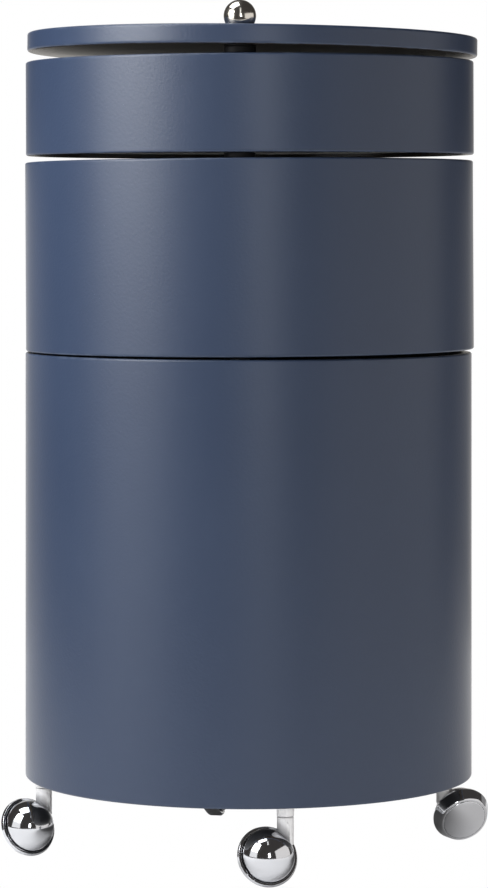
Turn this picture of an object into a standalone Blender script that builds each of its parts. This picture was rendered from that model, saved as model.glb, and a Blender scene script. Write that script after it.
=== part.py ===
"""Bar cabinet on castors: a base drum, two shallower drums and a lid that all swing on one upright post.

Metres, +Z up. The origin is on the floor under the middle of the base drum, and the front faces -Y.
"""

import math

import bmesh
import bpy
from mathutils import Matrix, Vector

# Running and seating clearances, and how far a cutter runs on past what it cuts
SEAT = 0.0003
SLEEVE_PLAY = 0.0008
WHEEL_GAP = 0.0006
SWIVEL_GAP = 0.0006
OVERRUN = 0.005

# Drums and lid
BASE_RADIUS = 0.190
DRUM_OVERHANG = 0.00075
LID_OVERHANG = 0.00175
WALL = 0.007
RIM_CHAMFER = 0.0012
LID_EDGE = 0.002
BASE_HEIGHT = 0.3591
BASE_GAP = 0.0022
MIDDLE_HEIGHT = 0.1597
MIDDLE_GAP = 0.0047
TOP_HEIGHT = 0.0793
LID_GAP = 0.0074
LID_THICKNESS = 0.0159
BASE_FLOOR = 0.018
DRUM_FLOOR = 0.009
FLOOR_RECESS = 0.004
DRUM_SIDES = 72

# Small swings, sideways leans and nods that the drums and the lid rest at; a nod lifts the rear
MIDDLE_SWING = math.radians(-0.25)
MIDDLE_LEAN = math.radians(-0.30)
TOP_SWING = math.radians(-0.33)
TOP_LEAN = math.radians(-0.18)
TOP_NOD = math.radians(0.30)
LID_SWING = math.radians(-1.05)
LID_LEAN = math.radians(0.70)

# Pivot post, its foot, clamp and sleeves
POST_RADIUS = 0.0055
SLEEVE_WALL = 0.0016
PIVOT_BEARING = math.radians(-92.3)
WALL_CLEARANCE = 0.0005
LEAF_THICKNESS = 0.002
LEAF_WIDTH = 0.0895
LEAF_MARGIN = 0.004
LEAF_STEPS = 8
CLAMP_HEIGHT = 0.060
FOOT_HEIGHT = 0.022
FOOT_PLATE = 0.004
FOOT_LAND = 0.0021
FOOT_LENGTH = 0.046
SPACER_RADIUS = 0.0127
KNOB_RADIUS = 0.0131
KNOB_RISE = 0.0068
KNOB_BORE_DEPTH = 0.011
BUSH_FLANGE = 0.0015
BUSH_WALL = 0.0022

# Screws: the bites are how deep they go into the wall and into the base floor
SCREW_RADIUS = 0.0016
SCREW_HEAD_RADIUS = 0.0034
SCREW_CROWN_RADIUS = 0.0024
SCREW_HEAD_HEIGHT = 0.0019
SCREW_BITE = 0.0022
FOOT_SCREW_BITE = 0.0067
LEAF_SCREW_EDGE = 0.0144
MIDDLE_SCREW_ROWS = 2
TOP_SCREW_ROWS = 1
CLAMP_SCREW_ROWS = 1
FOOT_SCREW_MARGIN = 0.008
FOOT_SCREW_SPACING = 0.017

# Castors: the axle slopes up towards the hood, and the bowl-shaped wheel rolls on its conical tread
CASTOR_EDGE = 0.0014
CASTOR_TURN = math.radians(9.7)
TRAIL = 0.0144
SIDE_STEP = -0.0026
AXLE_SLOPE = math.radians(24.5)
WHEEL_RADIUS = 0.0252
TREAD_WIDTH = 0.0093
TREAD_WALL = 0.0024
LIP_DEPTH = 0.0026
LIP_INSET = 0.0008
SHOULDER = 0.0009
CORE_RECESS = 0.0018
CAP_HEIGHT = 0.0045
GROOVE = 0.0026
HOOD_HEIGHT = 0.0200
SHELL = 0.0016
AXLE_RADIUS = 0.003
AXLE_RECESS = 0.0017
BOSS_WALL = 0.0017
PIN_RADIUS = 0.004
PIN_SEAT = 0.0065
SHANK_WALL = 0.0012
SHANK_LENGTH = 0.014
COLLAR_STEP = 0.0015
COLLAR_DROP = 0.0077
STEM_INSET = 0.00025
STEM_RISE = 0.0091
STEM_DIP = 0.0100
WHEEL_SIDES = 24
ROUND_SIDES = 16
SMALL_SIDES = 10
DOME_STEPS = 5

# Each castor's quarter turns from the front one, how far in from the circle its stem stands,
# and the way its wheel trails
CASTORS = {
    "front": (0, 0.0, math.radians(195.5)),
    "right": (1, 0.0045, math.radians(18.3)),
    "rear": (2, 0.0, math.radians(261.8)),
    "left": (3, 0.0, math.radians(214.0)),
}

# Worked-out sizes of the castors, from the wheel up to the base
SHANK_RADIUS = PIN_RADIUS + SEAT + SHANK_WALL
COLLAR_RADIUS = SHANK_RADIUS + COLLAR_STEP
STEM_RADIUS = COLLAR_RADIUS - STEM_INSET
BOSS_RADIUS = AXLE_RADIUS + SEAT + BOSS_WALL
LIP_RADIUS = WHEEL_RADIUS - LIP_INSET
HOOD_RADIUS = LIP_RADIUS - GROOVE
TREAD_DROP = TREAD_WIDTH * math.cos(AXLE_SLOPE)
BACK_RADIUS = WHEEL_RADIUS - TREAD_WIDTH * math.sin(AXLE_SLOPE)
CAP_RADIUS = BACK_RADIUS - TREAD_WALL - SEAT
WHEEL_HEIGHT = WHEEL_RADIUS * math.cos(math.pi / WHEEL_SIDES) * math.cos(AXLE_SLOPE)
STEM_END = WHEEL_HEIGHT + STEM_DIP
STEM_TOP = 2 * WHEEL_RADIUS * math.cos(AXLE_SLOPE) + STEM_RISE
COLLAR_BOTTOM = STEM_TOP + SWIVEL_GAP

# Worked-out places of the drums, the lid and the post
DRUM_RADIUS = BASE_RADIUS + DRUM_OVERHANG
LID_RADIUS = BASE_RADIUS + LID_OVERHANG
DRUM_FLAT = math.cos(math.pi / DRUM_SIDES)
SLEEVE_BORE = POST_RADIUS + SLEEVE_PLAY
SLEEVE_RADIUS = SLEEVE_BORE + SLEEVE_WALL
PIVOT_RADIUS = BASE_RADIUS - WALL - SLEEVE_RADIUS - WALL_CLEARANCE
PIVOT = Vector((math.cos(PIVOT_BEARING), math.sin(PIVOT_BEARING), 0)) * PIVOT_RADIUS
BASE_BOTTOM = COLLAR_BOTTOM + COLLAR_DROP
BASE_TOP = BASE_BOTTOM + BASE_HEIGHT
BASE_INSIDE = BASE_BOTTOM + BASE_FLOOR
MIDDLE_BOTTOM = BASE_TOP + BASE_GAP
MIDDLE_TOP = MIDDLE_BOTTOM + MIDDLE_HEIGHT
TOP_BOTTOM = MIDDLE_TOP + MIDDLE_GAP
TOP_TOP = TOP_BOTTOM + TOP_HEIGHT
LID_BOTTOM = TOP_TOP + LID_GAP
LID_TOP = LID_BOTTOM + LID_THICKNESS
KNOB_SEAT = LID_TOP + SEAT
LEAF_SCREW_LENGTH = LEAF_THICKNESS + SEAT + SCREW_BITE
FOOT_SCREW_LENGTH = FOOT_PLATE + SEAT + FOOT_SCREW_BITE
CASTOR_CIRCLE = BASE_RADIUS - WALL - 2 * SEAT - SHANK_RADIUS - CASTOR_EDGE


def clear_scene():
    for old in list(bpy.data.objects):
        bpy.data.objects.remove(old, do_unlink=True)


def material(name, colour, roughness, metallic=0.0):
    made = bpy.data.materials.new(name)
    made.use_nodes = True
    shader = made.node_tree.nodes["Principled BSDF"]
    shader.inputs["Base Color"].default_value = (*colour, 1.0)
    shader.inputs["Roughness"].default_value = roughness
    shader.inputs["Metallic"].default_value = metallic
    return made


def mesh_of(bm, name):
    bmesh.ops.remove_doubles(bm, verts=bm.verts, dist=1e-6)
    bmesh.ops.recalc_face_normals(bm, faces=bm.faces)
    mesh = bpy.data.meshes.new(name)
    bm.to_mesh(mesh)
    bm.free()
    return mesh


def turned(name, outline, sides, centre=(0, 0), start=0.0):
    """A closed (radius, height) outline spun about a vertical line at centre."""
    bm = bmesh.new()
    turn = Matrix.Rotation(start, 3, "Z")
    middle = Vector((*centre, 0))
    points = [bm.verts.new(middle + turn @ Vector((r, 0, z))) for r, z in outline]
    edges = [bm.edges.new(pair) for pair in zip(points, points[1:] + points[:1])]
    on_axis = [e for e in edges if all((v.co - middle).xy.length < 1e-7 for v in e.verts)]
    bmesh.ops.delete(bm, geom=on_axis, context="EDGES")
    bmesh.ops.spin(
        bm,
        geom=bm.verts[:] + bm.edges[:],
        cent=middle,
        axis=(0, 0, 1),
        angle=2 * math.pi,
        steps=sides,
        use_merge=True,
    )
    return mesh_of(bm, name)


def rod(name, radius, bottom, top, sides, centre=(0, 0)):
    outline = [(0, bottom), (radius, bottom), (radius, top), (0, top)]
    return turned(name, outline, sides, centre)


def tube(name, bore, radius, bottom, top, sides, centre=(0, 0)):
    outline = [(bore, bottom), (radius, bottom), (radius, top), (bore, top)]
    return turned(name, outline, sides, centre)


def box(name, low, high):
    bm = bmesh.new()
    bmesh.ops.create_cube(bm, size=1.0)
    size = Vector(high) - Vector(low)
    bmesh.ops.scale(bm, vec=size, verts=bm.verts)
    bmesh.ops.translate(bm, vec=(Vector(high) + Vector(low)) / 2, verts=bm.verts)
    return mesh_of(bm, name)


def arc_plate(name, inner, outer, bottom, top, middle, half_span, centre, steps):
    """A plate bent round a vertical line at centre, from one bearing to another."""
    bm = bmesh.new()
    hub = Vector((*centre, 0))
    turn = Matrix.Rotation(middle - half_span, 3, "Z")
    corners = ((inner, bottom), (outer, bottom), (outer, top), (inner, top))
    loop = [bm.verts.new(hub + turn @ Vector((r, 0, z))) for r, z in corners]
    face = bm.faces.new(loop)
    bmesh.ops.spin(
        bm, geom=[face], cent=hub, axis=(0, 0, 1), angle=2 * half_span, steps=steps
    )
    return mesh_of(bm, name)


def dome_arc(radius, height, steps):
    """Points of a spherical cap from its rim to its pole, as (radius, rise)."""
    ball = (radius * radius + height * height) / (2 * height)
    rim = math.asin(min(1.0, radius / ball))
    angles = [rim * (1 - i / steps) for i in range(steps + 1)]
    return [(ball * math.sin(a), ball * (math.cos(a) - math.cos(rim))) for a in angles]


def dome_shell(radius, height, wall, base, way=1):
    """Outline of a hollow cap that rises from base along the axis, or falls when way is -1."""
    outer = [(r, base + way * h) for r, h in dome_arc(radius, height, DOME_STEPS)]
    inner = [(r, base + way * h) for r, h in dome_arc(radius - wall, height - wall, DOME_STEPS)]
    return outer + inner[::-1]


def moved(mesh, matrix):
    mesh.transform(matrix)
    return mesh


def combined(mesh, tools, operation):
    """The mesh after each tool mesh is cut from it or joined to it."""
    scene = bpy.context.scene.collection
    host = bpy.data.objects.new("host", mesh)
    scene.objects.link(host)
    helpers = []
    for tool in tools:
        helper = bpy.data.objects.new("helper", tool)
        scene.objects.link(helper)
        step = host.modifiers.new("step", "BOOLEAN")
        step.operation = operation
        step.solver = "EXACT"
        step.object = helper
        helpers.append(helper)
    graph = bpy.context.evaluated_depsgraph_get()
    result = bpy.data.meshes.new_from_object(host.evaluated_get(graph))
    result.name = mesh.name
    for old in [host, *helpers]:
        data = old.data
        bpy.data.objects.remove(old, do_unlink=True)
        bpy.data.meshes.remove(data)
    return result


def cut(mesh, *tools):
    return combined(mesh, tools, "DIFFERENCE")


def joined(mesh, *tools):
    return combined(mesh, tools, "UNION")


def frame(name, location, rotation=(0, 0, 0), parent=None):
    made = bpy.data.objects.new(name, None)
    made.location = location
    made.rotation_euler = rotation
    made.parent = parent
    bpy.context.scene.collection.objects.link(made)
    return made


def piece(name, mesh, finish, parent):
    """A finished object whose origin is its parent's, smooth but for its edges."""
    made = bpy.data.objects.new(name, mesh)
    made.parent = parent
    mesh.materials.clear()
    mesh.materials.append(finish)
    mesh.shade_smooth()
    mesh.set_sharp_from_angle(angle=math.radians(35))
    bpy.context.scene.collection.objects.link(made)
    return made


def pan_screw(name, length):
    """A pan-head screw along Z, its seat at the origin and its shank below."""
    outline = [
        (0, -length),
        (SCREW_RADIUS, -length),
        (SCREW_RADIUS, 0),
        (SCREW_HEAD_RADIUS, 0),
        (SCREW_HEAD_RADIUS, SCREW_HEAD_HEIGHT / 2),
        (SCREW_CROWN_RADIUS, SCREW_HEAD_HEIGHT),
        (0, SCREW_HEAD_HEIGHT),
    ]
    return turned(name, outline, SMALL_SIDES)


def leaf_screw_places(radius, bottom, top, rows):
    """Screw seats on the leaf's inner face: in each row, one on each side of the sleeve."""
    spacing = (top - bottom) / rows
    heights = [bottom + (row + 0.5) * spacing for row in range(rows)]
    places = []
    for side in (-1, 1):
        bearing = PIVOT_BEARING + side * (LEAF_WIDTH / 2 - LEAF_SCREW_EDGE) / radius
        for height in heights:
            turn = Matrix.Rotation(bearing, 4, "Z") @ Matrix.Rotation(math.radians(-90), 4, "Y")
            seat = Vector((radius * math.cos(bearing), radius * math.sin(bearing), height))
            places.append(Matrix.Translation(seat - PIVOT) @ turn)
    return places


def pilot(length, place):
    """Hole for a screw's shank, run on past the seat towards the head."""
    return moved(rod("pilot", SCREW_RADIUS + SEAT, -length - SEAT, OVERRUN, SMALL_SIDES), place)


def leaf_radius(inner):
    """Radius of the leaf's face that lies against the flats of a drum's inner wall."""
    return inner * DRUM_FLAT - SEAT


def drum_shell(name, radius, bottom, top, screws):
    inner = radius - WALL
    outline = [
        (inner, bottom),
        (radius - RIM_CHAMFER, bottom),
        (radius, bottom + RIM_CHAMFER),
        (radius, top - RIM_CHAMFER),
        (radius - RIM_CHAMFER, top),
        (inner, top),
    ]
    shell = turned(name, outline, DRUM_SIDES, -PIVOT.xy)
    return cut(shell, *[pilot(LEAF_SCREW_LENGTH, place) for place in screws])


def hinge_sleeve(name, inner, bottom, top, leaf_bottom, leaf_top, screws):
    """A tube round the post, welded to a leaf that follows the drum's inner wall."""
    outer = leaf_radius(inner)
    leaf = arc_plate(
        name,
        outer - LEAF_THICKNESS,
        outer,
        leaf_bottom,
        leaf_top,
        PIVOT_BEARING,
        LEAF_WIDTH / 2 / outer,
        -PIVOT.xy,
        LEAF_STEPS,
    )
    solid = joined(leaf, rod("tube", SLEEVE_RADIUS, bottom, top, ROUND_SIDES))
    bore = rod("bore", SLEEVE_BORE, bottom - OVERRUN, top + OVERRUN, ROUND_SIDES)
    return cut(solid, bore, *[pilot(LEAF_SCREW_LENGTH, place) for place in screws])


def floor_panel(name, radius, bottom, top):
    """A disc that fits inside a drum, notched round the sleeve."""
    disc = rod(name, radius - WALL - SEAT, bottom, top, DRUM_SIDES, -PIVOT.xy)
    reach = SLEEVE_RADIUS + SEAT
    outward = Matrix.Rotation(PIVOT_BEARING, 4, "Z")
    low = bottom - OVERRUN
    high = top + OVERRUN
    slot = moved(box("slot", (0, -reach, low), (2 * reach, reach, high)), outward)
    hole = rod("hole", reach, low, high, ROUND_SIDES)
    return cut(disc, slot, hole)


def swinging_drum(name, bottom, height, rows, pivot, lacquer, steel):
    """Shell, floor, sleeve and screws of one drum, in its pivot's frame."""
    inner = DRUM_RADIUS - WALL
    floor_bottom = bottom + FLOOR_RECESS
    floor_top = floor_bottom + DRUM_FLOOR
    top = bottom + height
    leaf_bottom = floor_top + LEAF_MARGIN
    leaf_top = top - LEAF_MARGIN
    screws = leaf_screw_places(leaf_radius(inner) - LEAF_THICKNESS, leaf_bottom, leaf_top, rows)
    piece(f"{name}_shell", drum_shell("shell", DRUM_RADIUS, bottom, top, screws), lacquer, pivot)
    piece(f"{name}_floor", floor_panel("floor", DRUM_RADIUS, floor_bottom, floor_top), lacquer, pivot)
    sleeve = hinge_sleeve("sleeve", inner, bottom, top, leaf_bottom, leaf_top, screws)
    piece(f"{name}_sleeve", sleeve, steel, pivot)
    add_screws(f"{name}_leaf_screw", screws, LEAF_SCREW_LENGTH, steel, pivot)


def add_screws(name, places, length, steel, parent):
    for number, place in enumerate(places, 1):
        lifted = place @ Matrix.Translation((0, 0, SEAT))
        piece(f"{name}_{number}", moved(pan_screw("screw", length), lifted), steel, parent)


def base(pivot, lacquer, steel):
    """Base drum with its floor, the post and what holds the post up."""
    inner = BASE_RADIUS - WALL
    leaf_bottom = BASE_TOP - CLAMP_HEIGHT
    leaf_top = BASE_TOP - LEAF_MARGIN
    face = leaf_radius(inner) - LEAF_THICKNESS
    screws = leaf_screw_places(face, leaf_bottom, leaf_top, CLAMP_SCREW_ROWS)
    shell = drum_shell("shell", BASE_RADIUS, BASE_BOTTOM, BASE_TOP, screws)
    piece("base_shell", shell, lacquer, pivot)
    clamp = hinge_sleeve("clamp", inner, leaf_bottom, BASE_TOP, leaf_bottom, leaf_top, screws)
    piece("post_clamp", clamp, steel, pivot)
    add_screws("clamp_screw", screws, LEAF_SCREW_LENGTH, steel, pivot)

    inward = Matrix.Rotation(PIVOT_BEARING + math.pi, 4, "Z")
    foot_seat = BASE_INSIDE + SEAT
    last = FOOT_LENGTH - FOOT_SCREW_MARGIN
    foot_screws = [
        inward @ Matrix.Translation((reach, 0, foot_seat + FOOT_PLATE))
        for reach in (last - FOOT_SCREW_SPACING, last)
    ]
    half = SLEEVE_RADIUS + FOOT_LAND
    front = WALL_CLEARANCE - SLEEVE_RADIUS
    plate = box("foot", (front, -half, foot_seat), (FOOT_LENGTH, half, foot_seat + FOOT_PLATE))
    foot_top = foot_seat + FOOT_HEIGHT
    boss = rod("boss", SLEEVE_RADIUS, foot_seat + FOOT_PLATE / 2, foot_top, ROUND_SIDES)
    foot = joined(moved(plate, inward), boss)
    bore = rod("bore", POST_RADIUS + SEAT, foot_seat - OVERRUN, foot_top + OVERRUN, ROUND_SIDES)
    foot_holes = [pilot(FOOT_SCREW_LENGTH, place) for place in foot_screws]
    piece("post_foot", cut(foot, bore, *foot_holes), steel, pivot)
    add_screws("foot_screw", foot_screws, FOOT_SCREW_LENGTH, steel, pivot)

    disc = rod("floor", inner - SEAT, BASE_BOTTOM, BASE_INSIDE, DRUM_SIDES, -PIVOT.xy)
    holes = [pilot(FOOT_SCREW_LENGTH, place) for place in foot_screws]
    for quarter, inset, _ in CASTORS.values():
        spot = castor_spot(quarter, inset) - PIVOT
        depth = BASE_BOTTOM + SHANK_LENGTH + SEAT
        holes.append(rod("socket", SHANK_RADIUS + SEAT, 0, depth, ROUND_SIDES, spot.xy))
    piece("base_floor", cut(disc, *holes), lacquer, pivot)


def post_and_knob(pivot, steel, plastic):
    bore_top = KNOB_SEAT + KNOB_BORE_DEPTH
    post = rod("post", POST_RADIUS, BASE_INSIDE + SEAT, bore_top - SEAT, ROUND_SIDES)
    piece("pivot_post", post, steel, pivot)

    rise = KNOB_RISE - SEAT
    bottom = math.asin(rise / KNOB_RADIUS)
    steps = 2 * DOME_STEPS
    angles = [-bottom + i * (math.pi / 2 + bottom) / steps for i in range(steps + 1)]
    centre = KNOB_SEAT + rise
    ball = [(KNOB_RADIUS * math.cos(a), centre + KNOB_RADIUS * math.sin(a)) for a in angles]
    ball[-1] = (0, centre + KNOB_RADIUS)
    bore = POST_RADIUS + SEAT
    outline = [(bore, KNOB_SEAT), *ball, (0, bore_top), (bore, bore_top)]
    piece("ball_knob", turned("knob", outline, ROUND_SIDES), steel, pivot)

    stack = {
        "lower_spacer": (BASE_TOP, MIDDLE_BOTTOM),
        "middle_spacer": (MIDDLE_TOP, TOP_BOTTOM),
        "upper_spacer": (TOP_TOP, LID_BOTTOM - BUSH_FLANGE - SEAT),
    }
    for name, (bottom, top) in stack.items():
        disc = tube(name, bore, SPACER_RADIUS, bottom + SEAT, top - SEAT, ROUND_SIDES)
        piece(name, disc, plastic, pivot)


def lid(pivot, lacquer, plastic):
    half = LID_EDGE * (1 - math.sqrt(0.5))
    corner = ((LID_EDGE, 0), (half, half), (0, LID_EDGE))
    lower = [(LID_RADIUS - inset, LID_BOTTOM + up) for inset, up in corner]
    upper = [(LID_RADIUS - inset, LID_TOP - up) for inset, up in corner[::-1]]
    outline = [(0, LID_BOTTOM), *lower, *upper, (0, LID_TOP)]
    disc = turned("lid", outline, DRUM_SIDES, -PIVOT.xy)
    neck = SLEEVE_BORE + BUSH_WALL
    hole = rod("hole", neck + SEAT, LID_BOTTOM - OVERRUN, LID_TOP + OVERRUN, ROUND_SIDES)
    piece("lid_panel", cut(disc, hole), lacquer, pivot)
    seat = LID_BOTTOM - SEAT
    outline = [
        (SLEEVE_BORE, seat - BUSH_FLANGE),
        (SPACER_RADIUS, seat - BUSH_FLANGE),
        (SPACER_RADIUS, seat),
        (neck, seat),
        (neck, LID_TOP - SEAT),
        (SLEEVE_BORE, LID_TOP - SEAT),
    ]
    piece("lid_bush", turned("bush", outline, ROUND_SIDES), plastic, pivot)


def castor_spot(quarter, inset):
    bearing = math.radians(-90 + 90 * quarter) + CASTOR_TURN
    return Vector((math.cos(bearing), math.sin(bearing), 0)) * (CASTOR_CIRCLE - inset)


def castor_hood(slope):
    """Stem and dome cast in one, in the swivel's frame; slope carries the axle's frame into it."""
    edge = LIP_DEPTH + WHEEL_GAP
    dome = turned("hood", dome_shell(HOOD_RADIUS, HOOD_HEIGHT, SHELL, edge), WHEEL_SIDES)
    boss_end = LIP_DEPTH - CORE_RECESS + WHEEL_GAP
    boss = rod("boss", BOSS_RADIUS, boss_end, edge + HOOD_HEIGHT - SHELL / 2, SMALL_SIDES)
    axle_hole = rod("axle", AXLE_RADIUS + SEAT, 0, edge + HOOD_HEIGHT - 2 * SHELL, SMALL_SIDES)
    cap = moved(cut(joined(dome, boss), axle_hole), slope)
    stem = rod("stem", STEM_RADIUS, STEM_END, STEM_TOP, ROUND_SIDES)
    sweep = rod("sweep", WHEEL_RADIUS + WHEEL_GAP, -HOOD_RADIUS, edge, WHEEL_SIDES)
    pin_hole = rod("pin", PIN_RADIUS + SEAT, STEM_TOP - PIN_SEAT, STEM_TOP + OVERRUN, SMALL_SIDES)
    return joined(cap, cut(stem, moved(sweep, slope), pin_hole))


def wheel_meshes():
    """Tread, core and cap about the axle, the widest circle at zero and a flat side at the floor."""
    flat = math.pi / 2 - math.pi / WHEEL_SIDES
    tread = [
        (LIP_RADIUS, LIP_DEPTH),
        (LIP_RADIUS - TREAD_WALL / 2, LIP_DEPTH),
        (LIP_RADIUS - TREAD_WALL / 2, 0),
        (BACK_RADIUS - TREAD_WALL, -TREAD_DROP),
        (BACK_RADIUS - TREAD_WALL, -TREAD_DROP - SHOULDER),
        (BACK_RADIUS - SHOULDER, -TREAD_DROP - SHOULDER),
        (BACK_RADIUS, -TREAD_DROP),
        (WHEEL_RADIUS, 0),
    ]
    inside = LIP_RADIUS - TREAD_WALL / 2 - SEAT
    core = [
        (AXLE_RADIUS + SEAT, LIP_DEPTH - CORE_RECESS),
        (AXLE_RADIUS + SEAT, -TREAD_DROP),
        (BACK_RADIUS - TREAD_WALL - 2 * SEAT, -TREAD_DROP),
        (inside - SEAT, 0),
        (inside, LIP_DEPTH - CORE_RECESS),
    ]
    cap = dome_shell(CAP_RADIUS, CAP_HEIGHT, SHELL, -TREAD_DROP - SEAT, -1)
    return {
        "tread": turned("tread", tread, WHEEL_SIDES, start=flat),
        "core": turned("core", core, WHEEL_SIDES, start=flat),
        "cap": turned("cap", cap, WHEEL_SIDES, start=flat),
    }


def castors(chrome, steel, plastic):
    tilt = (AXLE_SLOPE - math.pi / 2, 0, 0)
    hub = (TRAIL, SIDE_STEP, WHEEL_HEIGHT)
    slope = Matrix.Translation(hub) @ Matrix.Rotation(tilt[0], 4, "X")
    shank_top = BASE_BOTTOM + SHANK_LENGTH
    socket = [
        (PIN_RADIUS + SEAT, COLLAR_BOTTOM),
        (COLLAR_RADIUS, COLLAR_BOTTOM),
        (COLLAR_RADIUS, BASE_BOTTOM - SEAT),
        (SHANK_RADIUS, BASE_BOTTOM - SEAT),
        (SHANK_RADIUS, shank_top),
        (PIN_RADIUS + SEAT, shank_top),
    ]
    axle_top = LIP_DEPTH + WHEEL_GAP + HOOD_HEIGHT - 2 * SHELL - SEAT
    shared = {
        "socket": turned("socket", socket, ROUND_SIDES),
        "hood": castor_hood(slope),
        "pin": rod("pin", PIN_RADIUS, STEM_TOP - PIN_SEAT + SEAT, shank_top, SMALL_SIDES),
        "axle": rod("axle", AXLE_RADIUS, AXLE_RECESS - TREAD_DROP, axle_top, SMALL_SIDES),
        **wheel_meshes(),
    }
    finishes = {"hood": chrome, "socket": chrome, "tread": chrome, "cap": chrome, "core": plastic}
    for name, (quarter, inset, heading) in CASTORS.items():
        spot = frame(f"{name}_castor_axis", castor_spot(quarter, inset))
        swivel = frame(f"{name}_castor_swivel", (0, 0, 0), (0, 0, heading), spot)
        wheel = frame(f"{name}_castor_wheel", hub, tilt, swivel)
        carriers = {"socket": spot, "hood": swivel, "pin": swivel}
        for part, mesh in shared.items():
            carrier = carriers.get(part, wheel)
            piece(f"{name}_castor_{part}", mesh, finishes.get(part, steel), carrier)


def main():
    clear_scene()
    lacquer = material("lacquer_blue", (0.035, 0.055, 0.105), 0.38)
    chrome = material("chrome", (0.80, 0.80, 0.80), 0.06, 1.0)
    steel = material("steel", (0.55, 0.54, 0.52), 0.28, 1.0)
    plastic = material("black_plastic", (0.012, 0.012, 0.013), 0.5)

    post = frame("post_axis", PIVOT)
    base(post, lacquer, steel)
    post_and_knob(post, steel, plastic)
    middle_pivot = frame("middle_drum_axis", PIVOT)
    swinging_drum(
        "middle_drum", MIDDLE_BOTTOM, MIDDLE_HEIGHT, MIDDLE_SCREW_ROWS, middle_pivot, lacquer, steel
    )
    top_pivot = frame("top_drum_axis", PIVOT)
    swinging_drum("top_drum", TOP_BOTTOM, TOP_HEIGHT, TOP_SCREW_ROWS, top_pivot, lacquer, steel)
    lid_pivot = frame("lid_axis", PIVOT)
    lid(lid_pivot, lacquer, plastic)
    lean_about(middle_pivot, MIDDLE_BOTTOM + MIDDLE_HEIGHT / 2, MIDDLE_SWING, MIDDLE_LEAN)
    lean_about(top_pivot, TOP_BOTTOM + TOP_HEIGHT / 2, TOP_SWING, TOP_LEAN, TOP_NOD)
    lean_about(lid_pivot, LID_BOTTOM + LID_THICKNESS / 2, LID_SWING, LID_LEAN)
    castors(chrome, steel, plastic)


def lean_about(pivot, height, swing, lean, nod=0.0):
    """Turns a pivot's frame about the post, and tips it about a point on the post at that height."""
    level = Matrix.Translation((0, 0, height))
    tip = Matrix.Rotation(nod, 4, "X") @ Matrix.Rotation(lean, 4, "Y")
    turn = Matrix.Rotation(swing, 4, "Z") @ tip
    pivot.matrix_local = Matrix.Translation(PIVOT) @ level @ turn @ level.inverted()


main()
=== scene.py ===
import math

import bmesh
import bpy
from mathutils import Matrix, Vector


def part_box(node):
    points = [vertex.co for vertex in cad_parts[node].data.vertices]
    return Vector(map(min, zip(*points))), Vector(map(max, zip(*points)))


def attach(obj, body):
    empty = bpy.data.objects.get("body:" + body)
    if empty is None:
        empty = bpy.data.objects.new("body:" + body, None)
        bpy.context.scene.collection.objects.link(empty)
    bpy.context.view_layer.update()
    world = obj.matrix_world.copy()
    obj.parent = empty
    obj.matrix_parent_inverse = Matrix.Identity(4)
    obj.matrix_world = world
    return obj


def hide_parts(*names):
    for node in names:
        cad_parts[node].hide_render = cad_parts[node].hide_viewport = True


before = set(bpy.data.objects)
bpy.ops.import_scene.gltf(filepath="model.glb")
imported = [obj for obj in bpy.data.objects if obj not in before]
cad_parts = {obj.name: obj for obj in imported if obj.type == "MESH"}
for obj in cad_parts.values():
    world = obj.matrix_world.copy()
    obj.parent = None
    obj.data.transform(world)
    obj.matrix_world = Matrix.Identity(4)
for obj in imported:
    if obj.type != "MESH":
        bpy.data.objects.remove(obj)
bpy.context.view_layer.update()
scene = bpy.context.scene
print("frame: loaded", len(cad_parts), "nodes")


class Term:
    # a shader value that can stand in a sum; each operator adds one Math node
    def __init__(self, look, socket):
        self.look = look
        self.socket = socket

    def maths(self, operation, first, second):
        values = {0: first, 1: second}
        return self.look.node("ShaderNodeMath", {"operation": operation}, values)["Value"]

    def __add__(self, other):
        return self.maths("ADD", self, other)

    def __radd__(self, other):
        return self.maths("ADD", other, self)

    def __sub__(self, other):
        return self.maths("SUBTRACT", self, other)

    def __rsub__(self, other):
        return self.maths("SUBTRACT", other, self)

    def __mul__(self, other):
        return self.maths("MULTIPLY", self, other)

    def __rmul__(self, other):
        return self.maths("MULTIPLY", other, self)

    def __gt__(self, other):
        return self.maths("GREATER_THAN", self, other)

    def __lt__(self, other):
        return self.maths("LESS_THAN", self, other)


class Look:
    # one node tree; node() adds a node, sets it up, then fills or links its sockets
    def __init__(self, tree):
        self.tree = tree

    def node(self, kind, settings=None, sockets=None):
        made = self.tree.nodes.new(kind)
        for name, value in (settings or {}).items():
            setattr(made, name, value)
        self.fill(made, sockets or {})
        return {name: Term(self, out) for out in made.outputs for name in (out.identifier, out.name)}

    def fill(self, made, sockets):
        known = {socket.identifier: socket for socket in made.inputs}
        for name, value in sockets.items():
            socket = known.get(name) or made.inputs[name]
            if isinstance(value, Term):
                self.tree.links.new(value.socket, socket)
            elif hasattr(value, "__len__") and len(value) == 3 and socket.type == "RGBA":
                socket.default_value = (*value, 1.0)
            else:
                socket.default_value = value

    def mixed(self, share, first, second):
        colours = {"Factor_Float": share, "A_Color": first, "B_Color": second}
        return self.node("ShaderNodeMix", {"data_type": "RGBA"}, colours)["Result_Color"]

    def noise(self, where, scale, detail):
        values = {"Vector": where, "Scale": scale, "Detail": detail}
        return self.node("ShaderNodeTexNoise", {}, values)["Fac"]

    def faded(self, value, low, high):
        # rises smoothly from 0 at low to 1 at high
        ends = {"Value": value, "From Min": low, "From Max": high}
        return self.node("ShaderNodeMapRange", {"interpolation_type": "SMOOTHSTEP"}, ends)["Result"]

    def along(self, axis, vector):
        return self.node("ShaderNodeSeparateXYZ", {}, {"Vector": vector})[axis]

    def cameraRay(self):
        return self.node("ShaderNodeLightPath")["Is Camera Ray"]


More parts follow.
